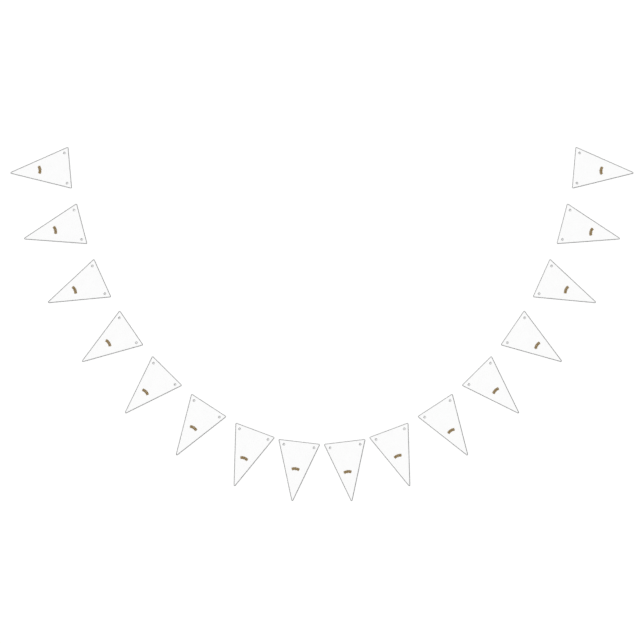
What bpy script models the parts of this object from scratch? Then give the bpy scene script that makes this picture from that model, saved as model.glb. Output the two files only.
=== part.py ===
"""Pennant bunting, laid out face up along the curve in which it hangs.

Each pennant is one triangle of white cloth. An overlocked edge runs all round it as a thicker
rim of grey thread, and a metal eyelet is set through each of its two upper corners.
The pennants lie apart, spaced and turned as a line threaded through the eyelets would hold them.

Metres, +Z up. X runs across the layout, and Y from the tips of the lowest pennants to the two ends.
The origin lies on the floor under the middle of the layout.
"""

import math
from collections import namedtuple

import bmesh
import bpy
from mathutils import Matrix, Vector

# Sizes of a pennant, between the points where its straight edges would meet
PENNANT_WIDTH = 0.150
PENNANT_HEIGHT = 0.220
CORNER_RADIUS = 0.0033
CORNER_STEPS = 4
CLOTH_THICKNESS = 0.0010

# The overlocked edge: a rim with a flat crown above and below, and a sloping flank on each side
EDGE_WIDTH = 0.0024
EDGE_THICKNESS = 0.0024
EDGE_FLANK = 0.0007

# Sizes of an eyelet, and where the pair sits on the pennant
EYELET_SPACING = 0.108
EYELET_DROP = 0.0157
EYELET_HOLE_RADIUS = 0.0032
EYELET_BARREL_RADIUS = 0.0036
EYELET_FLANGE_RADIUS = 0.0050
EYELET_FRONT_THICKNESS = 0.0007
ROUND_STEPS = 12
SHARP_EDGE = math.radians(40)

# The clearance between two pieces that touch, and the reach within which loose points are merged
PIECE_GAP = 0.0003
MERGE_DISTANCE = 0.0001

# Heights above the floor, on which the rim and the backs of the eyelets rest
CLOTH_MIDDLE = EDGE_THICKNESS / 2
CLOTH_BACK = CLOTH_MIDDLE - CLOTH_THICKNESS / 2
CLOTH_FRONT = CLOTH_MIDDLE + CLOTH_THICKNESS / 2

# Where the middle of each top edge lies on one half of the curve, from the lowest pennant to the end:
# metres from the centre line, metres above the lowest pennant, and the top edge's slope in degrees
Place = namedtuple("Place", "across above slope")
HALF_CURVE = (
    Place(across=0.0806, above=0.0000, slope=6.8),
    Place(across=0.2375, above=0.0413, slope=20.5),
    Place(across=0.4023, above=0.1300, slope=33.1),
    Place(across=0.5507, above=0.2527, slope=44.8),
    Place(across=0.6783, above=0.4056, slope=55.6),
    Place(across=0.7813, above=0.5829, slope=65.8),
    Place(across=0.8547, above=0.7765, slope=75.4),
    Place(across=0.8973, above=0.9758, slope=85.0),
)

# Colours as linear red, green and blue
CLOTH_WHITE = (0.93, 0.93, 0.93)
THREAD_GREY = (0.36, 0.36, 0.36)
METAL_GREY = (0.55, 0.55, 0.55)


def clear_scene():
    for old in list(bpy.data.objects):
        bpy.data.objects.remove(old)


def new_collection(name):
    made = bpy.data.collections.new(name)
    bpy.context.scene.collection.children.link(made)
    return made


def new_material(name, colour, roughness, metallic):
    made = bpy.data.materials.new(name)
    made.use_nodes = True
    shader = made.node_tree.nodes["Principled BSDF"]
    shader.inputs["Base Color"].default_value = (*colour, 1.0)
    shader.inputs["Roughness"].default_value = roughness
    shader.inputs["Metallic"].default_value = metallic
    return made


def new_object(name, mesh, collection):
    made = bpy.data.objects.new(name, mesh)
    collection.objects.link(made)
    return made


def hide_as_guide(guide):
    guide.hide_render = True
    guide.display_type = "WIRE"


def finished_mesh(guide):
    """The guide's mesh with its modifiers applied, for the pieces to share."""
    graph = bpy.context.evaluated_depsgraph_get()
    return bpy.data.meshes.new_from_object(guide.evaluated_get(graph))


# The cloth

def rounded_corner(before, corner, after):
    """Points of the arc that rounds one corner of an outline running anticlockwise."""
    arriving = math.atan2(*(corner - before).yx)
    leaving = math.atan2(*(after - corner).yx)
    turn = (leaving - arriving) % math.tau
    inwards = arriving + math.pi / 2 + turn / 2
    reach = CORNER_RADIUS / math.cos(turn / 2)
    centre = corner + reach * Vector((math.cos(inwards), math.sin(inwards)))
    angles = [arriving - math.pi / 2 + turn * step / CORNER_STEPS for step in range(CORNER_STEPS + 1)]
    return [centre + CORNER_RADIUS * Vector((math.cos(a), math.sin(a))) for a in angles]


def pennant_outline():
    """The finished edge, anticlockwise from above, with the middle of the top edge at the origin."""
    left = Vector((-PENNANT_WIDTH / 2, 0))
    tip = Vector((0, -PENNANT_HEIGHT))
    right = Vector((PENNANT_WIDTH / 2, 0))
    return [
        *rounded_corner(right, left, tip),
        *rounded_corner(left, tip, right),
        *rounded_corner(tip, right, left),
    ]


def cloth_sheet():
    """The cloth at its middle height. Vertex group 0 holds each point's share of the rim's thickness."""
    sheet = bmesh.new()
    share = sheet.verts.layers.deform.verify()
    face = sheet.faces.new([sheet.verts.new((*point, CLOTH_MIDDLE)) for point in pennant_outline()])
    face.normal_update()
    cloth_share = CLOTH_THICKNESS / EDGE_THICKNESS
    for vert in face.verts:
        vert[share][0] = cloth_share
    crown_width = EDGE_WIDTH - 2 * EDGE_FLANK
    for strip_width, inner_share in ((EDGE_FLANK, 1.0), (crown_width, 1.0), (EDGE_FLANK, cloth_share)):
        strip = bmesh.ops.inset_individual(sheet, faces=[face], thickness=strip_width, use_even_offset=True)
        for edge_face in strip["faces"]:
            edge_face.material_index = 1
        for vert in face.verts:
            vert[share][0] = inner_share
    mesh = bpy.data.meshes.new("pennant_pattern")
    sheet.to_mesh(mesh)
    sheet.free()
    return mesh


def eyelet_places():
    """The two eyelets' places on the pennant, by side."""
    return {
        "left": Vector((-EYELET_SPACING / 2, -EYELET_DROP, 0)),
        "right": Vector((EYELET_SPACING / 2, -EYELET_DROP, 0)),
    }


def hole_cutter(place, collection):
    """A round punch for the hole that the eyelet's barrel passes through."""
    punch = bmesh.new()
    bmesh.ops.create_cone(
        punch,
        cap_ends=True,
        segments=ROUND_STEPS,
        radius1=EYELET_BARREL_RADIUS + PIECE_GAP,
        radius2=EYELET_BARREL_RADIUS + PIECE_GAP,
        depth=3 * EDGE_THICKNESS,
    )
    mesh = bpy.data.meshes.new("hole_punch")
    punch.to_mesh(mesh)
    punch.free()
    cutter = new_object("hole_punch", mesh, collection)
    cutter.location = place + Vector((0, 0, CLOTH_MIDDLE))
    hide_as_guide(cutter)
    return cutter


def pennant_mesh(cutters, cloth, thread):
    """The pennant: a sheet given its thickness, with the two eyelet holes punched through it."""
    pattern = new_object("pennant_pattern", cloth_sheet(), cutters)
    pattern.data.materials.append(cloth)
    pattern.data.materials.append(thread)
    pattern.vertex_groups.new(name="rim_share")
    solidify = pattern.modifiers.new("thickness", "SOLIDIFY")
    solidify.thickness = EDGE_THICKNESS
    solidify.offset = 0.0
    solidify.vertex_group = "rim_share"
    solidify.thickness_vertex_group = 0.0
    for side, place in eyelet_places().items():
        punched = pattern.modifiers.new("hole_" + side, "BOOLEAN")
        punched.operation = "DIFFERENCE"
        punched.object = hole_cutter(place, cutters)
    hide_as_guide(pattern)
    return finished_mesh(pattern)


# The eyelets

def eyelet_profile():
    """Radius and height of the eyelet's section: down its outer side, then back up the bore."""
    back = CLOTH_BACK - PIECE_GAP
    front = CLOTH_FRONT + PIECE_GAP
    top = front + EYELET_FRONT_THICKNESS
    return (
        (EYELET_FLANGE_RADIUS, top),
        (EYELET_FLANGE_RADIUS, front),
        (EYELET_BARREL_RADIUS, front),
        (EYELET_BARREL_RADIUS, back),
        (EYELET_FLANGE_RADIUS, back),
        (EYELET_FLANGE_RADIUS, 0.0),
        (EYELET_HOLE_RADIUS, 0.0),
        (EYELET_HOLE_RADIUS, top),
    )


def eyelet_mesh(cutters, metal):
    """A set eyelet: a barrel between two flanges that hold the cloth, turned from its section."""
    profile = bmesh.new()
    verts = [profile.verts.new((radius, 0, height)) for radius, height in eyelet_profile()]
    for start, end in zip(verts, verts[1:] + verts[:1]):
        profile.edges.new((start, end))
    mesh = bpy.data.meshes.new("eyelet_pattern")
    profile.to_mesh(mesh)
    profile.free()
    pattern = new_object("eyelet_pattern", mesh, cutters)
    pattern.data.materials.append(metal)
    turning = pattern.modifiers.new("turning", "SCREW")
    turning.steps = ROUND_STEPS
    turning.render_steps = ROUND_STEPS
    turning.use_merge_vertices = True
    turning.merge_threshold = MERGE_DISTANCE
    hide_as_guide(pattern)
    turned = finished_mesh(pattern)
    turned.shade_smooth()
    turned.set_sharp_from_angle(angle=SHARP_EDGE)
    return turned


# The layout

def pennant_places():
    """Each pennant's place from left to right: across, up, and slope in radians."""
    right_half = [Vector((p.across, p.above, math.radians(p.slope))) for p in HALF_CURVE]
    left_half = [Vector((-p.x, p.y, -p.z)) for p in right_half]
    return left_half[::-1] + right_half


def middle_of_layout():
    """The height halfway between the highest corner and the lowest tip of all the pennants."""
    heights = []
    for place in pennant_places():
        turned = Matrix.Rotation(place.z, 2)
        heights += [(place.xy + turned @ point).y for point in pennant_outline()]
    return (max(heights) + min(heights)) / 2


def build():
    clear_scene()
    bunting = new_collection("pennant_bunting")
    cutters = new_collection("cutters")
    cloth = new_material("white_cloth", CLOTH_WHITE, roughness=0.9, metallic=0.0)
    thread = new_material("grey_edge_thread", THREAD_GREY, roughness=0.8, metallic=0.0)
    metal = new_material("eyelet_metal", METAL_GREY, roughness=0.35, metallic=1.0)
    pennant = pennant_mesh(cutters, cloth, thread)
    eyelet = eyelet_mesh(cutters, metal)

    curve = new_object("curve", None, bunting)
    curve.location.y = -middle_of_layout()
    for number, place in enumerate(pennant_places(), start=1):
        flag = new_object(f"pennant_{number:02d}", pennant, bunting)
        flag.parent = curve
        flag.location = (place.x, place.y, 0)
        flag.rotation_euler.z = place.z
        for side, spot in eyelet_places().items():
            ring = new_object(f"eyelet_{number:02d}_{side}", eyelet, bunting)
            ring.parent = flag
            ring.location = spot


build()
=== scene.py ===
# %% [markdown]
# # A pennant bunting, laid out flat
#
# A bunting is a row of small cloth flags, called pennants. These are white triangles with a grey
# overlocked edge, a small stitched garland in brown thread, and a metal eyelet in each upper corner for
# the line that they hang on. Here they lie face up in the curve in which they would hang.
# The frame gives the plain solids with their true sizes and places. Each step below makes one finer
# piece of the real thing. The pennants are all alike, so a piece is modelled once with the middle of
# the pennant's top edge at the origin and its tip towards -Y, and copied to every pennant at the end.

# %% Load the frame
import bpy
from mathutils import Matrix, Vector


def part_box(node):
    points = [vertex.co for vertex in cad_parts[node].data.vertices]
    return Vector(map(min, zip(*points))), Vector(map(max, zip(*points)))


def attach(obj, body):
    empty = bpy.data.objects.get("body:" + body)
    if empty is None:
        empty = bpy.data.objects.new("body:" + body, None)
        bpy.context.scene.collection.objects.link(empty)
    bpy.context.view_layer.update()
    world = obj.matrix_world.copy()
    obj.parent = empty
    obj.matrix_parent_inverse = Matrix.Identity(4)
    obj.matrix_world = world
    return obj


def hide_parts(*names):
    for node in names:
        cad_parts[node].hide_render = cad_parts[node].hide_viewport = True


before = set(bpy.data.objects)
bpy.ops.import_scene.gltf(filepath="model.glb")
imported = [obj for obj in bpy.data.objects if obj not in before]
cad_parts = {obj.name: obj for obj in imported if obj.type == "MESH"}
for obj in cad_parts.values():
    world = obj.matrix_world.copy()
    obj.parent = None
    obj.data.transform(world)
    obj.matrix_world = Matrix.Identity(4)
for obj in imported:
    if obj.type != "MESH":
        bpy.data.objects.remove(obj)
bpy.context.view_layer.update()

# %% Import what the lesson uses
import math

import bpy
from mathutils import Matrix, Vector

MM = 0.001


def millimetres(lengths):
    """These lengths in millimetres, as text."""
    return " x ".join(f"{length / MM:.1f}" for length in lengths) + " mm"


# %% [markdown]
# ## The camera
#
# The pennants are seen square from above, with no perspective to speak of. A long lens from high up
# gives that view. The lens is worked out from the width that the picture covers at floor level, so that
# the width stays the driving value. The camera isn't turned: an unturned camera looks straight down.

# %% Hang the camera above the middle of the view
VIEW_WIDTH = 2.2944
VIEW_CENTRE = Vector((0.0003, 0.0072, 0))
CAMERA_HEIGHT = 12
SENSOR_WIDTH = 36

bpy.ops.object.camera_add(location=VIEW_CENTRE + Vector((0, 0, CAMERA_HEIGHT)), rotation=(0, 0, 0))
camera = bpy.context.object
camera.name = "overhead_camera"
camera.data.sensor_width = SENSOR_WIDTH
camera.data.lens = SENSOR_WIDTH * CAMERA_HEIGHT / VIEW_WIDTH
camera.data.clip_end = 10 * CAMERA_HEIGHT
bpy.context.scene.camera = camera
print("The lens is", round(camera.data.lens), "mm long")

# %% [markdown]
# ## Floor and light
#
# A white product is photographed on a white sweep in soft, even light. The sky gives most of the light,
# from all sides, so that nothing is dark. One broad sun from the upper left adds the little shading that
# shows the relief of threads and weave. Suns light the whole layout evenly, which a lamp close to a
# layout over two metres wide would not.

# %% Lay the floor and switch on the light
FLOOR_SIZE = 60
SKY_STRENGTH = 0.84
SUN_STRENGTH = 1.18
SUN_TILT = math.radians(42)
SUN_TURN = math.radians(35)
SUN_SOFTNESS = math.radians(25)


def grey(value):
    """The same amount of red, green and blue."""
    return (value, value, value, 1)


def new_material(name):
    """An empty node material and its Principled shader."""
    material = bpy.data.materials.new(name)
    material.use_nodes = True
    return material, material.node_tree.nodes["Principled BSDF"]


floor_paint, floor_shader = new_material("floor_paint")
floor_shader.inputs["Base Color"].default_value = grey(0.96)
floor_shader.inputs["Roughness"].default_value = 0.9
floor_shader.inputs["Specular IOR Level"].default_value = 0.1

bpy.ops.mesh.primitive_plane_add(size=FLOOR_SIZE)
floor = bpy.context.object
floor.name = "floor"
floor.data.materials.append(floor_paint)

sky = bpy.data.worlds.new("white_studio")
sky.use_nodes = True
sky.node_tree.nodes["Background"].inputs["Color"].default_value = grey(1)
sky.node_tree.nodes["Background"].inputs["Strength"].default_value = SKY_STRENGTH
bpy.context.scene.world = sky

bpy.ops.object.light_add(type="SUN", rotation=(0, -SUN_TILT, -SUN_TURN))
sun = bpy.context.object
sun.name = "soft_sun"
sun.data.energy = SUN_STRENGTH
sun.data.angle = SUN_SOFTNESS
bpy.context.scene.view_settings.view_transform = "Standard"
print("Light on the floor:", round(SKY_STRENGTH + SUN_STRENGTH * math.cos(SUN_TILT) / math.pi, 3))

# %% [markdown]
# ## Where each pennant lies
#
# The frame knows the place of every eyelet. The line from a pennant's left eyelet to its right one gives
# the slope of its top edge, and the point halfway between them, moved up by the depth at which eyelets
# are set, gives the middle of that edge. One matrix for each pennant holds both.

# %% Work out the pennants' places
PENNANT_COUNT = 16
EYELET_DROP = 15.7 * MM


def box_middle(node):
    """The middle of a solid's box, brought down to the floor."""
    low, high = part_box(node)
    middle = (Vector(low) + Vector(high)) / 2
    middle.z = 0
    return middle


def pennant_place(number):
    """The matrix that takes the modelled pennant to its place in the layout."""
    left = box_middle(f"eyelet_{number:02d}_left")
    right = box_middle(f"eyelet_{number:02d}_right")
    slope = math.atan2(right.y - left.y, right.x - left.x)
    turn = Matrix.Rotation(slope, 4, "Z")
    return Matrix.Translation((left + right) / 2 + turn @ Vector((0, EYELET_DROP, 0))) @ turn


places = {number: pennant_place(number) for number in range(1, PENNANT_COUNT + 1)}
eyelet_gap = (box_middle("eyelet_01_right") - box_middle("eyelet_01_left")).length
print("Eyelets are", round(eyelet_gap / MM, 1), "mm apart; the first pennant is at",
      [round(value, 4) for value in places[1].translation])

# %% [markdown]
# ## The outline of a pennant
#
# Everything on a pennant follows its outline: a triangle with rounded corners. Each corner is an arc
# between the directions that its two sides face, so a corner needs only its point and two angles. The
# same arcs, drawn about the same centres with a smaller radius, give the outline a little further in,
# where the cloth ends and where the edge threads run.

# %% Describe the rounded triangle
PENNANT_WIDTH = 150 * MM
PENNANT_HEIGHT = 220 * MM
CORNER_RADIUS = 3.3 * MM
SIDE_LEAN = math.atan2(PENNANT_WIDTH / 2, PENNANT_HEIGHT)
FACING_UP = math.pi / 2
FACING_LEFT = math.pi + SIDE_LEAN
FACING_RIGHT = math.tau - SIDE_LEAN
CORNERS = (
    (Vector((-PENNANT_WIDTH / 2, 0, 0)), FACING_UP, FACING_LEFT),
    (Vector((0, -PENNANT_HEIGHT, 0)), FACING_LEFT, FACING_RIGHT),
    (Vector((PENNANT_WIDTH / 2, 0, 0)), FACING_RIGHT, FACING_UP + math.tau),
)


def facing(angle):
    """The direction of an angle in the plane of the cloth."""
    return Vector((math.cos(angle), math.sin(angle), 0))


def outline(inset, steps):
    """Points that far inside the edge, anticlockwise, each with its outward direction."""
    points = []
    for corner, start, end in CORNERS:
        centre = corner - facing((start + end) / 2) * CORNER_RADIUS / math.cos((end - start) / 2)
        for step in range(steps + 1):
            outward = facing(start + (end - start) * step / steps)
            points.append((centre + outward * (CORNER_RADIUS - inset), outward))
    return points


edge_points = [point for point, outward in outline(inset=0, steps=8)]
edge_length = sum((a - b).length for a, b in zip(edge_points, edge_points[1:] + edge_points[:1]))
print("The edge of a pennant is", round(edge_length / MM), "mm long")

# %% [markdown]
# ## Cutting the cloth
#
# The real pennant is cut from plain-woven cotton. A grid is the natural start for cloth, because its
# squares can bend later. It is then trimmed as with scissors: each cut is a bisect that clears what lies
# outside one line, and a few cuts at small turns round each corner. The cloth ends in the middle of the
# overlocked edge, which hides the cut. The grid's UV map comes along through all the cuts, so that the
# weave can follow the threads of this piece of cloth wherever it lies.

# %% Cut one pennant out of a grid
EDGE_WIDTH = 2.4 * MM
CLOTH_HEIGHT = 1.2 * MM
GRID_STEP = 5 * MM
CORNER_CUTS = 4


def only(*pieces):
    """Selects these objects and nothing else, and makes the first the active one."""
    bpy.ops.object.select_all(action="DESELECT")
    for piece in pieces:
        piece.select_set(True)
    bpy.context.view_layer.objects.active = pieces[0]


bpy.ops.object.select_all(action="DESELECT")
bpy.ops.mesh.primitive_grid_add(
    x_subdivisions=round(PENNANT_WIDTH / GRID_STEP),
    y_subdivisions=round(PENNANT_HEIGHT / GRID_STEP),
    size=1,
    location=(0, -PENNANT_HEIGHT / 2, CLOTH_HEIGHT),
)
cloth = bpy.context.object
cloth.name = "cloth_pattern"
bpy.ops.object.mode_set(mode="EDIT")
bpy.ops.transform.resize(value=(PENNANT_WIDTH, PENNANT_HEIGHT, 1))
for point, outward in outline(EDGE_WIDTH / 2, CORNER_CUTS):
    bpy.ops.mesh.select_all(action="SELECT")
    bpy.ops.mesh.bisect(plane_co=point, plane_no=outward, clear_outer=True)
bpy.ops.object.mode_set(mode="OBJECT")
bpy.ops.object.transform_apply(location=True, rotation=True, scale=True)
print("Cut cloth:", len(cloth.data.polygons), "faces,", millimetres(cloth.dimensions))

# %% [markdown]
# ## Thickness and eyelet holes
#
# Solidify gives the sheet its thickness, equally to both sides of the middle. A hole for an eyelet is
# punched with a Boolean and a round cutter, after the thickness, because the exact solver wants closed
# meshes. The cutter is a little wider than the eyelet's barrel and well inside its flanges, so the metal
# covers the cut edge.

# %% Give the cloth its body and punch the holes
CLOTH_THICKNESS = 0.9 * MM
EYELET_SPACING = 108 * MM
HOLE_RADIUS = 3.9 * MM
HOLE_STEPS = 40
SMOOTH_UP_TO = math.radians(40)


def apply_all_modifiers(piece):
    """Bakes every modifier into the piece's mesh, from the top of the stack down."""
    only(piece)
    for modifier in list(piece.modifiers):
        bpy.ops.object.modifier_apply(modifier=modifier.name)


thickness = cloth.modifiers.new("thickness", "SOLIDIFY")
thickness.thickness = CLOTH_THICKNESS
thickness.offset = 0
punches = []
for side in (-1, 1):
    bpy.ops.object.select_all(action="DESELECT")
    bpy.ops.mesh.primitive_cylinder_add(
        vertices=HOLE_STEPS,
        radius=HOLE_RADIUS,
        depth=10 * CLOTH_THICKNESS,
        location=(side * EYELET_SPACING / 2, -EYELET_DROP, CLOTH_HEIGHT),
    )
    punches.append(bpy.context.object)
    hole = cloth.modifiers.new("hole", "BOOLEAN")
    hole.object = punches[-1]
apply_all_modifiers(cloth)
for punch in punches:
    bpy.data.objects.remove(punch)
only(cloth)
bpy.ops.object.shade_smooth_by_angle(angle=SMOOTH_UP_TO)
print("Cloth with its holes:", len(cloth.data.polygons), "faces")

# %% [markdown]
# ## One wrap of the overlocked edge
#
# An overlock machine whips thread round the raw edge, one close wrap beside the next. One wrap is a short
# hook of thread: it starts inside the cloth, goes round the edge and ends inside the cloth again. A spin
# makes just that shape, by turning the thread's small round section about the middle of the edge. The
# section is a filled disc, so that the spin closes both ends. Five sides are enough for a thread, if the
# shading is smooth and a flat side faces outwards. The hook is turned a little, because the machine's
# wraps lean. Before it is turned, an attribute stores how far along and across the thread each point
# lies. Attributes travel with the points, so the thread's finish can follow the thread wherever it is
# laid or bent later.

# %% Spin one wrap of thread
THREAD_SIDES = 5
THREAD_RADIUS = 0.5 * MM
WRAP_RADIUS = EDGE_WIDTH / 2 - THREAD_RADIUS
WRAP_STEPS = 7
WRAP_OPENING = math.radians(40)
WRAP_LEAN = math.radians(14)
edge_middle = Vector((0, 0, CLOTH_HEIGHT))
start_angle = -WRAP_OPENING / 2


def straightened(point):
    """Where a point of the wrap would lie if the thread were pulled straight: across and along it."""
    spoke = point - edge_middle
    return Vector((spoke.x, EDGE_WIDTH / 2 * (math.atan2(spoke.z, spoke.y) % math.tau), 0))


def remember_places(piece, own_place=Vector):
    """Stores the places of the piece's points, as they are or as own_place works them out."""
    marks = piece.data.attributes.new("own_place", "FLOAT_VECTOR", "POINT")
    for vertex, mark in zip(piece.data.vertices, marks.data):
        mark.vector = own_place(vertex.co)


bpy.ops.object.select_all(action="DESELECT")
bpy.ops.mesh.primitive_circle_add(
    vertices=THREAD_SIDES,
    radius=THREAD_RADIUS,
    fill_type="NGON",
    location=edge_middle + WRAP_RADIUS * Vector((0, math.cos(start_angle), math.sin(start_angle))),
    rotation=(start_angle + math.pi, 0, 0),
)
wraps = bpy.context.object
wraps.name = "edge_pattern"
bpy.ops.object.transform_apply(location=True, rotation=True, scale=True)
bpy.ops.object.mode_set(mode="EDIT")
bpy.ops.mesh.select_all(action="SELECT")
bpy.ops.mesh.spin(steps=WRAP_STEPS, angle=math.tau - WRAP_OPENING, center=edge_middle, axis=(1, 0, 0))
bpy.ops.mesh.select_all(action="SELECT")
bpy.ops.mesh.normals_make_consistent(inside=False)
bpy.ops.object.mode_set(mode="OBJECT")
remember_places(wraps, straightened)
wraps.data.transform(Matrix.Rotation(-WRAP_LEAN, 4, "Z"))
print("One wrap:", len(wraps.data.polygons), "faces,", millimetres(wraps.dimensions))

# %% [markdown]
# ## A stitch, and the needle line
#
# Every other stitch on the pennant is a straight one: it comes up out of the cloth, lies on it and dives
# in again. That makes it a very shallow arch, spun from the thread's section through a small angle about
# a point deep below the cloth. One function makes all of them, along the X axis with the middle at the
# origin. The first use is the needle line: the machine's needle leaves a row of short stitches just
# inside the wraps, parallel to the edge.

# %% Spin one needle stitch
STITCH_PITCH = 3.2 * MM
STITCH_LENGTH = 3.1 * MM
NEEDLE_RADIUS = 0.27 * MM
NEEDLE_RISE = 0.4 * MM
NEEDLE_INSET = 2.6 * MM
CLOTH_TOP = CLOTH_HEIGHT + CLOTH_THICKNESS / 2


def new_stitch(length, radius, rise, steps):
    """A shallow arch of thread along X, whose ends lie that far below its middle, inside the cloth."""
    reach = (length ** 2 / 4 + rise ** 2) / (2 * rise)
    angle = 2 * math.asin(length / 2 / reach)
    bpy.ops.object.select_all(action="DESELECT")
    bpy.ops.mesh.primitive_circle_add(
        vertices=THREAD_SIDES,
        radius=radius,
        fill_type="NGON",
        location=(-length / 2, 0, -rise),
        rotation=(0, math.pi / 2 - angle / 2, 0),
    )
    stitch = bpy.context.object
    bpy.ops.object.transform_apply(location=True, rotation=True, scale=True)
    bpy.ops.object.mode_set(mode="EDIT")
    bpy.ops.mesh.select_all(action="SELECT")
    bpy.ops.mesh.spin(steps=steps, angle=-angle, center=(0, 0, -reach), axis=(0, 1, 0))
    bpy.ops.mesh.select_all(action="SELECT")
    bpy.ops.mesh.normals_make_consistent(inside=False)
    bpy.ops.object.mode_set(mode="OBJECT")
    remember_places(stitch)
    return stitch


needle_line = new_stitch(STITCH_LENGTH, NEEDLE_RADIUS, NEEDLE_RISE, steps=4)
needle_line.name = "needle_pattern"
needle_line.data.transform(Matrix.Translation((0, NEEDLE_INSET - EDGE_WIDTH / 2, CLOTH_TOP)))
print("One stitch:", millimetres(needle_line.dimensions))

# %% [markdown]
# ## Running both rows round the pennant
#
# An Array lays the wraps out in a straight row, and a Curve modifier bends the row onto a closed path
# that runs along the middle of the edge. The pitch is the path's length divided by a whole number of
# wraps, so the last wrap meets the first. The path itself, given a round bevel, is the bundle of thread
# under the wraps, and it closes the gaps between them. The needle line follows an open path down one
# side, round the tip and up the other. The top edge has no needle line, and looks lighter for it.

# %% Bend the rows round the outline
WRAP_PITCH = 1.12 * MM
CORNER_STEPS = 10
BUNDLE_RADIUS = 0.66 * MM


def new_path(name, points, closed):
    """A path of straight runs through these points."""
    data = bpy.data.curves.new(name, "CURVE")
    data.dimensions = "3D"
    data.twist_mode = "Z_UP"
    spline = data.splines.new("POLY")
    spline.points.add(len(points) - 1)
    for spline_point, point in zip(spline.points, points):
        spline_point.co = (*point, 1)
    spline.use_cyclic_u = closed
    path = bpy.data.objects.new(name, data)
    bpy.context.scene.collection.objects.link(path)
    return path


def run_along(path, row, pitch, start=0):
    """Repeats the piece at about that pitch and bends the row onto the path, from start onwards."""
    path_length = path.data.splines[0].calc_length()
    count = round(path_length / pitch)
    row.data.transform(Matrix.Translation((start, 0, 0)))
    array = row.modifiers.new("row", "ARRAY")
    array.use_relative_offset = False
    array.use_constant_offset = True
    array.constant_offset_displace = (path_length / count, 0, 0)
    array.count = count
    bend = row.modifiers.new("bend", "CURVE")
    bend.object = path
    apply_all_modifiers(row)
    return count


path_points = [point for point, outward in outline(EDGE_WIDTH / 2, CORNER_STEPS)]
whole_edge = new_path("whole_edge", path_points, closed=True)
two_sides = new_path("two_sides", path_points[CORNER_STEPS:-CORNER_STEPS], closed=False)
wrap_count = run_along(whole_edge, wraps, WRAP_PITCH)
stitch_count = run_along(two_sides, needle_line, STITCH_PITCH, start=STITCH_PITCH / 2)
print("The edge has", wrap_count, "wraps and", stitch_count, "needle stitches")

# %% Make the thread bundle and join the edge
bpy.data.objects.remove(two_sides)
whole_edge.data.bevel_depth = BUNDLE_RADIUS
whole_edge.data.bevel_resolution = 1
only(whole_edge)
bpy.ops.object.convert(target="MESH")
bundle = bpy.context.object
bundle.data.transform(Matrix.Translation(edge_middle))
remember_places(bundle)
only(wraps, needle_line, bundle)
bpy.ops.object.join()
bpy.ops.object.shade_smooth()
edge = wraps
print("The edge has", len(edge.data.polygons), "faces")

# %% [markdown]
# ## A stitched leaf
#
# The motif is a garland of small leaves in satin stitch: threads laid side by side across the leaf, long
# in its middle and short at its ends, so that the row of their ends draws the leaf. They are stitches of
# the same kind as above, and they lean towards the leaf's tip. The leaf's base is at the origin and it
# points along +X.

# %% Lay the threads of one leaf
LEAF_LENGTH = 6.6 * MM
LEAF_WIDTH = 3.4 * MM
SATIN_PITCH = 0.55 * MM
SATIN_RADIUS = 0.33 * MM
SATIN_RISE = 0.5 * MM
SATIN_LEAN = math.radians(22)

lean = Matrix.Rotation(math.pi / 2 - SATIN_LEAN, 4, "Z")
thread_total = round(LEAF_LENGTH / SATIN_PITCH)
threads = []
for index in range(1, thread_total):
    share = index / thread_total
    thread = new_stitch(LEAF_WIDTH * math.sin(math.pi * share), SATIN_RADIUS, SATIN_RISE, steps=3)
    thread.data.transform(Matrix.Translation((share * LEAF_LENGTH, 0, 0)) @ lean)
    threads.append(thread)
only(*threads)
bpy.ops.object.join()
leaf = bpy.context.object
leaf.name = "leaf_pattern"
print("One leaf:", len(threads), "threads,", millimetres(leaf.dimensions))

# %% [markdown]
# ## The garland
#
# The stem is a shallow arch, and a spin about the arch's far centre draws it from the thread's section.
# Leaves grow from it in pairs, one above and one below, and point away from the middle. So one list of
# places along half the arch serves both halves: what differs is only a mirror, and a mirrored mesh needs
# its normals turned round again. A leaf at each end and two upright ones in the middle fill the shape.
# The leaves overlap, so every second one is raised a little and lies over its neighbours.

# %% Arrange the leaves on their stem
GARLAND_HALF_WIDTH = 10.2 * MM
GARLAND_RISE = 2.0 * MM
STEM_RADIUS = 0.35 * MM
STEM_SIDES = 6
STEM_STEPS = 16
LEAF_TURN = math.radians(54)
LEAF_STATIONS = (0.1, 0.37, 0.64, 0.91)
END_LEAF_STATION = 0.85
LOWER_LEAF_HEIGHT = 0.18 * MM
UPPER_LEAF_HEIGHT = 0.45 * MM
arch_radius = (GARLAND_HALF_WIDTH ** 2 + GARLAND_RISE ** 2) / (2 * GARLAND_RISE)
arch_half_angle = math.asin(GARLAND_HALF_WIDTH / arch_radius)
arch_centre = Vector((0, GARLAND_RISE / 2 - arch_radius, 0))


def leaf_on_arch(share, turn, raised, side=1, half=1):
    """A copy of the leaf, at a share of the half arch, turned away from the stem.

    side is 1 above the stem and -1 below it, and half is 1 on the right and -1 on the left.
    """
    stand = Matrix.Translation(arch_centre) @ Matrix.Rotation(-share * arch_half_angle, 4, "Z")
    base = Matrix.Translation((0, arch_radius, UPPER_LEAF_HEIGHT if raised else LOWER_LEAF_HEIGHT))
    grow = Matrix.Diagonal((1, side, 1, 1)) @ Matrix.Rotation(turn, 4, "Z")
    copy = leaf.copy()
    copy.data = leaf.data.copy()
    copy.data.transform(Matrix.Diagonal((half, 1, 1, 1)) @ stand @ base @ grow)
    if side * half < 0:
        copy.data.flip_normals()
    bpy.context.scene.collection.objects.link(copy)
    return copy


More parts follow.
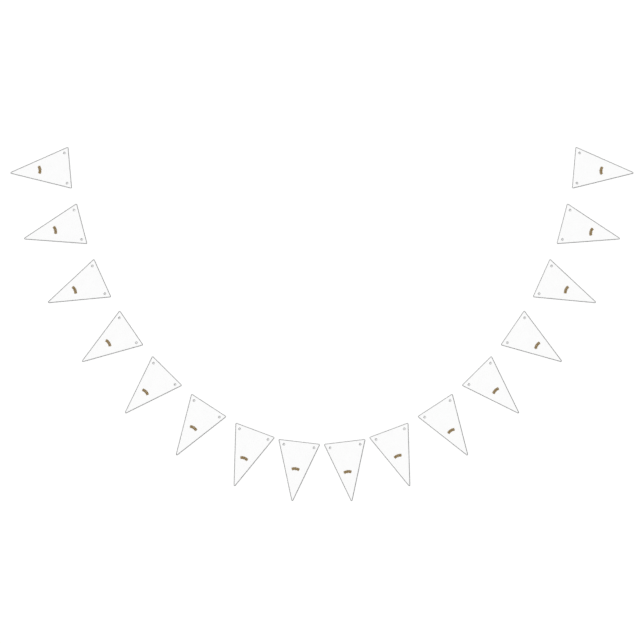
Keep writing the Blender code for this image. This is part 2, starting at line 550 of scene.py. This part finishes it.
leaves = [leaf_on_arch(share=0, turn=math.pi / 2, raised=True, side=side) for side in (1, -1)]
for half in (1, -1):
    leaves.append(leaf_on_arch(END_LEAF_STATION, turn=0, raised=True, half=half))
    for index, share in enumerate(LEAF_STATIONS):
        for side in (1, -1):
            leaves.append(leaf_on_arch(share, LEAF_TURN, index % 2 == 1, side, half))

bpy.ops.object.select_all(action="DESELECT")
bpy.ops.mesh.primitive_circle_add(
    vertices=STEM_SIDES,
    radius=STEM_RADIUS,
    fill_type="NGON",
    location=arch_centre + Vector((0, arch_radius, 0)),
    rotation=(0, math.pi / 2, 0),
)
stem = bpy.context.object
bpy.ops.object.transform_apply(location=True, rotation=True, scale=True)
bpy.ops.object.mode_set(mode="EDIT")
bpy.ops.mesh.select_all(action="SELECT")
bpy.ops.transform.rotate(value=-arch_half_angle, orient_axis="Z", center_override=arch_centre)
bpy.ops.mesh.spin(steps=STEM_STEPS, angle=2 * arch_half_angle, center=arch_centre, axis=(0, 0, 1))
bpy.ops.object.mode_set(mode="OBJECT")
remember_places(stem)
print("Stem:", millimetres(stem.dimensions))

bpy.data.objects.remove(leaf)
only(stem, *leaves)
bpy.ops.object.join()
bpy.ops.object.shade_smooth()
motif = stem
motif.name = "motif_pattern"
print("Garland:", len(motif.data.polygons), "faces,", millimetres(motif.dimensions))

# %% [markdown]
# ## The eyelet
#
# An eyelet is a short metal barrel with a rolled flange in front and a flat washer behind, pressed
# together through the cloth. All of it is round about one axis, so its section is drawn once and spun
# a full turn. The section begins as a flat plate standing on edge: the barrel's wall. Its outer side is
# extruded outwards at the top and at the bottom for the two flanges, and its corners are rounded.

# %% Draw the eyelet's section
BORE_RADIUS = 3.2 * MM
BARREL_RADIUS = 3.6 * MM
FLANGE_RADIUS = 5.0 * MM
EYELET_HEIGHT = 2.7 * MM
WASHER_THICKNESS = 0.5 * MM
ROLL_THICKNESS = 0.9 * MM
TOLERANCE = 0.01 * MM


def select_edges(mesh, wanted):
    """Selects the edges whose two ends both satisfy a test, in edit mode's edge selection."""
    bpy.ops.object.mode_set(mode="OBJECT")
    for part in (*mesh.polygons, *mesh.vertices):
        part.select = False
    for line in mesh.edges:
        line.select = all(wanted(mesh.vertices[index].co) for index in line.vertices)
    bpy.ops.object.mode_set(mode="EDIT")


bpy.ops.object.select_all(action="DESELECT")
bpy.ops.mesh.primitive_plane_add(
    size=1,
    location=((BORE_RADIUS + BARREL_RADIUS) / 2, 0, EYELET_HEIGHT / 2),
    rotation=(math.pi / 2, 0, 0),
)
eyelet = bpy.context.object
eyelet.name = "eyelet_pattern"
eyelet.scale = (BARREL_RADIUS - BORE_RADIUS, EYELET_HEIGHT, 1)
bpy.ops.object.transform_apply(location=True, rotation=True, scale=True)
bpy.ops.object.mode_set(mode="EDIT")
bpy.ops.mesh.select_mode(type="EDGE")
for height in (WASHER_THICKNESS, EYELET_HEIGHT - ROLL_THICKNESS):
    bpy.ops.mesh.select_all(action="SELECT")
    bpy.ops.mesh.bisect(plane_co=(0, 0, height), plane_no=(0, 0, 1))
for low, high in ((0, WASHER_THICKNESS), (EYELET_HEIGHT - ROLL_THICKNESS, EYELET_HEIGHT)):
    select_edges(eyelet.data, lambda co: co.x > BARREL_RADIUS - TOLERANCE
                 and low - TOLERANCE < co.z < high + TOLERANCE)
    bpy.ops.mesh.extrude_region_move(TRANSFORM_OT_translate={"value": (FLANGE_RADIUS - BARREL_RADIUS, 0, 0)})
bpy.ops.object.mode_set(mode="OBJECT")
print("Section:", len(eyelet.data.polygons), "faces,", len(eyelet.data.vertices), "points")

# %% [markdown]
# The plates are merged into one face, so that the section has only its true corners. The rolled flange
# gets round shoulders and the washer a lightly broken edge. Then the face is deleted, because inside the
# metal nothing should be left, and its border is spun.

# %% Round the section's corners and spin its border
ROLL_ROUNDING = 0.75 * MM
WASHER_ROUNDING = 0.12 * MM
EYELET_STEPS = 36


def round_corners(height, radius, steps):
    """Rounds the section's corners at that height."""
    bpy.ops.object.mode_set(mode="OBJECT")
    mesh = eyelet.data
    for part in (*mesh.polygons, *mesh.edges):
        part.select = False
    for vertex in mesh.vertices:
        vertex.select = abs(vertex.co.z - height) < TOLERANCE
    bpy.ops.object.mode_set(mode="EDIT")
    bpy.ops.mesh.bevel(offset=radius, segments=steps, affect="VERTICES")


bpy.ops.object.mode_set(mode="EDIT")
bpy.ops.mesh.select_all(action="SELECT")
bpy.ops.mesh.dissolve_limited(angle_limit=math.radians(1))
bpy.ops.mesh.select_mode(type="VERT")
round_corners(EYELET_HEIGHT, ROLL_ROUNDING, steps=6)
round_corners(0, WASHER_ROUNDING, steps=2)
bpy.ops.mesh.select_all(action="SELECT")
bpy.ops.mesh.delete(type="ONLY_FACE")
bpy.ops.mesh.select_all(action="SELECT")
bpy.ops.mesh.spin(steps=EYELET_STEPS, angle=math.tau, center=(0, 0, 0), axis=(0, 0, 1))
bpy.ops.mesh.select_all(action="SELECT")
bpy.ops.mesh.remove_doubles(threshold=TOLERANCE)
bpy.ops.mesh.normals_make_consistent(inside=False)
bpy.ops.object.mode_set(mode="OBJECT")
bpy.ops.object.shade_smooth_by_angle(angle=SMOOTH_UP_TO)
print("Eyelet:", len(eyelet.data.polygons), "faces,", millimetres(eyelet.dimensions))

# %% [markdown]
# The throat of an eyelet, where the line runs through, is painted dark, as shade in the bore, unlike the
# flange. An attribute on the mesh's points tells the two apart: it is 1 in the bore and fades to 0 on the
# rolled shoulder.

# %% Mark the throat
THROAT_REACH = 0.9 * MM

throat_marks = eyelet.data.attributes.new("throat", "FLOAT", "POINT")
for vertex, mark in zip(eyelet.data.vertices, throat_marks.data):
    mark.value = max(0, 1 - (vertex.co.xy.length - BORE_RADIUS) / THROAT_REACH)
print("Points in the throat:", sum(mark.value > 0 for mark in throat_marks.data))

# %% [markdown]
# ## Woven cotton
#
# In plain weave every thread goes over one crossing thread and under the next. Two sine waves along the
# piece's UV map count the threads. A thread is round across, and along itself it rises and sinks with
# the wave of the threads that it crosses, its neighbours just the other way round. What is seen is the
# higher of the two sets. That height goes to a bump and, faintly, to the colour as painted shade, which
# makes the hollows darker. Real threads wander a little, so a noise first pushes the counts about. Each
# thread has its own thickness too, so white noise, read once for each thread's number, scales its height.
# Washed cotton is white in faint patches, and a slow noise adds those to the colour.

# %% Weave the cotton
WEAVE_PITCH = 0.45 * MM
WEAVE_DEPTH = 0.1 * MM
WANDER = 0.4 * MM
WANDERINGS_ACROSS = 14
THREAD_FLATNESS = 0.5
THREAD_VARIATION = 0.35


class Graph:
    """Short calls for adding and joining the nodes of one material."""

    def __init__(self, name):
        self.material, self.shader = new_material(name)
        self.tree = self.material.node_tree

    def add(self, kind, settings=None, **inputs):
        """A new node with these settings. An input is a value or another node's output socket.

        Inputs go by their names, with _ for a space, or by number: i0 is the first.
        """
        node = self.tree.nodes.new("ShaderNode" + kind)
        for name, value in (settings or {}).items():
            setattr(node, name, value)
        for name, value in inputs.items():
            key = int(name[1:]) if name[1:].isdigit() else name.replace("_", " ")
            self.feed(node.inputs[key], value)
        return node

    def feed(self, socket, value):
        """Links an output socket to this input, or sets the input's own value."""
        if isinstance(value, bpy.types.NodeSocket):
            self.tree.links.new(value, socket)
        else:
            socket.default_value = value

    def math(self, operation, first, second=0.0):
        """The result of a Math node."""
        return self.add("Math", {"operation": operation}, i0=first, i1=second).outputs[0]

    def mix_colour(self, share, low, high):
        """A colour between two others. Those of a Mix node are its inputs 6 and 7."""
        node = self.add("Mix", {"data_type": "RGBA"})
        self.feed(node.inputs[0], share)
        self.feed(node.inputs[6], low)
        self.feed(node.inputs[7], high)
        return node.outputs[2]


def thread_waves(graph, position, width, wander):
    """One set of threads: its wave across the cloth, and each thread's own share of the full height."""
    count = graph.math("ADD", graph.math("MULTIPLY", position, width / WEAVE_PITCH), wander)
    wave = graph.math("SINE", graph.math("MULTIPLY", count, math.pi))
    number = graph.math("FLOOR", count)
    chance = graph.add("TexWhiteNoise", {"noise_dimensions": "1D"}, W=number).outputs["Value"]
    return wave, graph.math("ADD", graph.math("MULTIPLY", chance, THREAD_VARIATION), 1 - THREAD_VARIATION)


def woven_height(graph, wave, size, crossing_wave, phase):
    """The height of one set of threads, which go over and under the crossing set.

    phase is 1 for one set and -1 for the other, so that one is up where the other is down.
    """
    roundness = graph.math("POWER", graph.math("ABSOLUTE", wave), THREAD_FLATNESS)
    parity = graph.math("MULTIPLY", graph.math("SIGN", wave), phase)
    rise = graph.math("MULTIPLY", crossing_wave, parity)
    swing = graph.math("ADD", graph.math("MULTIPLY", rise, 0.5), 0.5)
    return graph.math("MULTIPLY", graph.math("MULTIPLY", roundness, swing), size)


weave = Graph("white_cotton")
uv = weave.add("TexCoord").outputs["UV"]
across, along, _ = weave.add("SeparateXYZ", Vector=uv).outputs
drift = weave.add("TexNoise", Vector=uv, Scale=WANDERINGS_ACROSS, Detail=3.0).outputs["Fac"]
wander = weave.math("MULTIPLY", weave.math("SUBTRACT", drift, 0.5), 2 * WANDER / WEAVE_PITCH)
warp, warp_size = thread_waves(weave, across, PENNANT_WIDTH, wander)
weft, weft_size = thread_waves(weave, along, PENNANT_HEIGHT, wander)
warp_height = woven_height(weave, warp, warp_size, weft, 1.0)
weft_height = woven_height(weave, weft, weft_size, warp, -1.0)
lift = weave.math("MAXIMUM", warp_height, weft_height)
print("Threads across the pennant:", round(PENNANT_WIDTH / WEAVE_PITCH))

# %% Colour the cotton
COTTON_WHITE = grey(0.907)
COTTON_HOLLOW_SHADE_AND_PATCH = grey(0.812)
PATCHES_ACROSS = 6
WEAVE_SHADE_SHARE = 0.9
PATCH_SHARE = 0.3

patches = weave.add("TexNoise", Vector=uv, Scale=PATCHES_ACROSS, Detail=2.0).outputs["Fac"]
# The weave's height goes to the colour too, as painted shade: darker in the hollows between threads. The
# slow patches are the cotton's own uneven white.
painted_weave_shade = weave.math("MULTIPLY", lift, WEAVE_SHADE_SHARE)
patch_light = weave.math("MULTIPLY", patches, PATCH_SHARE)
weave_shade_and_patches = weave.math("ADD", painted_weave_shade, patch_light)
weave.feed(weave.shader.inputs["Base Color"], weave.mix_colour(weave_shade_and_patches, COTTON_HOLLOW_SHADE_AND_PATCH, COTTON_WHITE))
weave_bump = weave.add("Bump", Strength=0.7, Distance=WEAVE_DEPTH, Height=lift)
weave.feed(weave.shader.inputs["Normal"], weave_bump.outputs["Normal"])
weave.shader.inputs["Roughness"].default_value = 0.92
weave.shader.inputs["Specular IOR Level"].default_value = 0.2
weave.shader.inputs["Sheen Weight"].default_value = 0.08
cotton = weave.material
print("Made", cotton.name)

# %% [markdown]
# ## Threads
#
# The grey overlock thread and the brown embroidery thread are made alike and differ in colour and
# shine. A thread is two or three twisted plies, which show as fine slanting ridges, and its dye is a
# little uneven. Both are far smaller than the stitches, so a fine band pattern and a noise are enough.
# The bands go to a bump, and also to the colour as painted shade, darker between the plies.
# The bands read the places stored on the threads, so they slant across each thread however it lies. At a
# scale of 1 they would be 0.36 m apart, and the scale is worked out from that. The dye reads object
# coordinates, so it differs from one stitch to the next.

# %% Make the two thread materials
BAND_PITCH_AT_SCALE_1 = math.tau / (10 * math.sqrt(3))
PLY_DEPTH = 0.03 * MM
PLY_SHADE_SHARE = 0.35
DYE_SPOTS_PER_METRE = 900
GREY_PLY_PITCH = 0.3 * MM
BROWN_PLY_PITCH = 0.2 * MM
DARK_GREY = grey(0.17)
LIGHT_GREY = grey(0.30)
DARK_BROWN = (0.21, 0.14, 0.05, 1)
LIGHT_BROWN = (0.36, 0.25, 0.11, 1)


def thread_material(name, dark, light, ply_pitch, roughness, gloss):
    """Twisted thread whose colour wanders between two tones, with painted shade between its plies and uneven
    dye.
    """
    graph = Graph(name)
    place = graph.add("TexCoord").outputs["Object"]
    own_place = graph.add("Attribute", {"attribute_name": "own_place"}).outputs["Vector"]
    plies = graph.add(
        "TexWave",
        {"wave_type": "BANDS", "bands_direction": "DIAGONAL"},
        Vector=own_place,
        Scale=BAND_PITCH_AT_SCALE_1 / ply_pitch,
        Distortion=2.0,
        Detail=1.0,
    ).outputs["Fac"]
    dye = graph.add("TexNoise", Vector=place, Scale=DYE_SPOTS_PER_METRE, Detail=2.0).outputs["Fac"]
    # The ply bands go to the colour too, as painted shade: darker between the plies. The dye noise is the
    # thread's own uneven colour.
    painted_ply_shade = graph.math("MULTIPLY", plies, PLY_SHADE_SHARE)
    shade = graph.math("ADD", painted_ply_shade, graph.math("MULTIPLY", dye, 1 - PLY_SHADE_SHARE))
    graph.feed(graph.shader.inputs["Base Color"], graph.mix_colour(shade, dark, light))
    bump = graph.add("Bump", Strength=0.6, Distance=PLY_DEPTH, Height=plies)
    graph.feed(graph.shader.inputs["Normal"], bump.outputs["Normal"])
    graph.shader.inputs["Roughness"].default_value = roughness
    graph.shader.inputs["Specular IOR Level"].default_value = gloss
    return graph.material


grey_thread = thread_material(
    "grey_thread", DARK_GREY, LIGHT_GREY, GREY_PLY_PITCH, roughness=0.7, gloss=0.3
)
brown_thread = thread_material(
    "brown_thread", DARK_BROWN, LIGHT_BROWN, BROWN_PLY_PITCH, roughness=0.5, gloss=0.15
)
print("Made", grey_thread.name, "and", brown_thread.name)

# %% [markdown]
# ## Nickel
#
# Plated steel that has been tumbled and pressed is not a mirror. Its roughness wanders a little, and
# fine marks run over it from the setting tool. The narrow throat is painted nearly black, as shade in
# the bore.

# %% Plate the eyelets
NICKEL_DARK = grey(0.70)
NICKEL_LIGHT = grey(0.82)
NICKEL_THROAT_SHADE = grey(0.08)
HAZE_SPOTS_PER_METRE = 700
MARKS_PER_METRE = 4000
MARK_DEPTH = 0.02 * MM

nickel_graph = Graph("satin_nickel")
spot = nickel_graph.add("TexCoord").outputs["Object"]
haze = nickel_graph.add("TexNoise", Vector=spot, Scale=HAZE_SPOTS_PER_METRE, Detail=3.0).outputs["Fac"]
roughness = nickel_graph.add("MapRange", Value=haze, To_Min=0.28, To_Max=0.5).outputs["Result"]
plated = nickel_graph.mix_colour(haze, NICKEL_DARK, NICKEL_LIGHT)
throat = nickel_graph.add("Attribute", {"attribute_name": "throat"}).outputs["Fac"]
# The throat colour is painted shade in the bore, which the throat attribute fades out on the rolled
# shoulder.
tone = nickel_graph.mix_colour(throat, plated, NICKEL_THROAT_SHADE)
marks = nickel_graph.add("TexNoise", Vector=spot, Scale=MARKS_PER_METRE, Detail=2.0).outputs["Fac"]
nickel_bump = nickel_graph.add("Bump", Strength=0.25, Distance=MARK_DEPTH, Height=marks)
nickel_graph.feed(nickel_graph.shader.inputs["Base Color"], tone)
nickel_graph.feed(nickel_graph.shader.inputs["Roughness"], roughness)
nickel_graph.feed(nickel_graph.shader.inputs["Normal"], nickel_bump.outputs["Normal"])
nickel_graph.shader.inputs["Metallic"].default_value = 1.0
nickel = nickel_graph.material
print("Made", nickel.name)

# %% [markdown]
# ## Copying everything to its place
#
# Each pennant gets its own copy of every pattern, with its own mesh, moved by the pennant's matrix. The
# place goes into the mesh and the object stays at the origin, so a pattern read from object coordinates
# stays put. The garland sits 10 mm lower on every other pennant, and a little to the left of the middle.

# %% Copy the patterns to the sixteen pennants
MOTIF_DROPS = (98.3 * MM, 108.3 * MM)
MOTIF_SHIFT = -1.8 * MM


def place_copy(pattern, name, matrix, material):
    """A copy of the pattern with its own mesh, moved by the matrix, riding with the frame."""
    copy = pattern.copy()
    copy.data = pattern.data.copy()
    copy.name = name
    copy.data.transform(matrix)
    copy.data.materials.clear()
    copy.data.materials.append(material)
    bpy.context.scene.collection.objects.link(copy)
    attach(copy, "root")
    return copy


cloths = {}
ripple_places = {}
for number, place in places.items():
    tag = f"{number:02d}"
    cloths[number] = place_copy(cloth, f"cloth_{tag}", place, cotton)
    hem = place_copy(edge, f"edge_{tag}", place, grey_thread)
    motif_place = place @ Matrix.Translation((MOTIF_SHIFT, -MOTIF_DROPS[number % 2], CLOTH_TOP))
    garland = place_copy(motif, f"motif_{tag}", motif_place, brown_thread)
    ripple_places[cloths[number]] = place
    ripple_places[garland] = place
    for side, name in ((-1, "left"), (1, "right")):
        eyelet_place = place @ Matrix.Translation((side * EYELET_SPACING / 2, -EYELET_DROP, 0))
        ring = place_copy(eyelet, f"eyelet_ring_{tag}_{name}", eyelet_place, nickel)
        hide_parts(f"eyelet_{tag}_{name}")
    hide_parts(f"pennant_{tag}")
for pattern in (cloth, edge, motif, eyelet):
    bpy.data.objects.remove(pattern)
print("Placed", len(cloths), "pennants")

# %% [markdown]
# ## A little unevenness
#
# Washed cotton never lies quite flat. A Displace modifier with a soft cloud texture lifts and lowers the
# cloth by less than its own thickness. The stiff edge and the eyelets hold the cloth flat beside them, so
# a vertex group fades the ripples out there. The garland lies where the group is full, and gets the same
# modifier, so it goes up and down with the cloth. The texture is read in the layout's own coordinates,
# so no two pennants get the same ripples.

# %% Ripple the cloth
RIPPLE_SIZE = 45 * MM
RIPPLE_HEIGHT = 0.6 * MM
HELD_REACH = 5 * MM
FREE_REACH = 20 * MM


def freedom(point):
    """How free the cloth is there, from 0 beside the edge or an eyelet to 1 further in."""
    reaches = [(corner - point).dot(facing(end)) for corner, start, end in CORNERS]
    for side in (-1, 1):
        eyelet_middle = Vector((side * EYELET_SPACING / 2, -EYELET_DROP, 0))
        reaches.append((point - eyelet_middle).xy.length - FLANGE_RADIUS)
    share = (min(reaches) - HELD_REACH) / (FREE_REACH - HELD_REACH)
    return min(max(share, 0), 1)


ripples = bpy.data.textures.new("cloth_ripples", "CLOUDS")
ripples.noise_scale = RIPPLE_SIZE
ripples.noise_depth = 1
for piece, place in ripple_places.items():
    free = piece.vertex_groups.new(name="free")
    back = place.inverted()
    for vertex in piece.data.vertices:
        free.add([vertex.index], freedom(back @ vertex.co), "REPLACE")
    ripple = piece.modifiers.new("ripples", "DISPLACE")
    ripple.texture = ripples
    ripple.texture_coords = "GLOBAL"
    ripple.direction = "Z"
    ripple.strength = RIPPLE_HEIGHT
    ripple.mid_level = 0.5
    ripple.vertex_group = free.name
    apply_all_modifiers(piece)
print("From the first cloth's lowest to its highest point:", round(cloths[1].dimensions.z / MM, 2), "mm")
